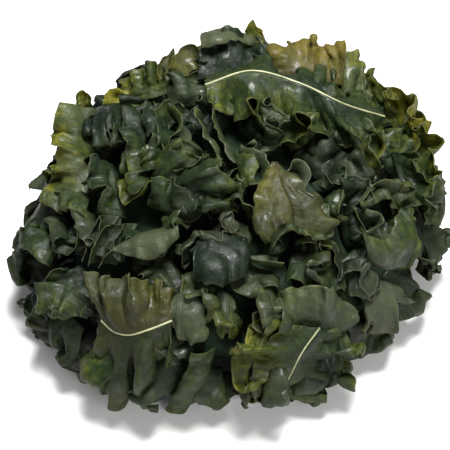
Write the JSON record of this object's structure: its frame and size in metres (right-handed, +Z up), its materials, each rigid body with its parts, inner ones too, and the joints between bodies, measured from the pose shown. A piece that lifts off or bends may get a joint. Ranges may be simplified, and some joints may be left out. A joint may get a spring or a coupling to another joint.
{
  "type": "heap of wakame seaweed",
  "caption": "Loose rounded mound of soaked wakame: thin dark green ruffled kelp blades tangled over one another, some hanging from a pale rib.",
  "frame": {"origin": "middle of the mound, on the flat face it rests on", "axes": "+Z up out of the resting face, -Y towards the viewer of the shown side, +X to the viewer's right"},
  "size_m": [0.2507, 0.2583, 0.1139],
  "materials": {
    "wakame": "wet satin"
  },
  "bodies": {
    "root": {"wakame_heap": "wakame"}
  },
  "joints": []
}
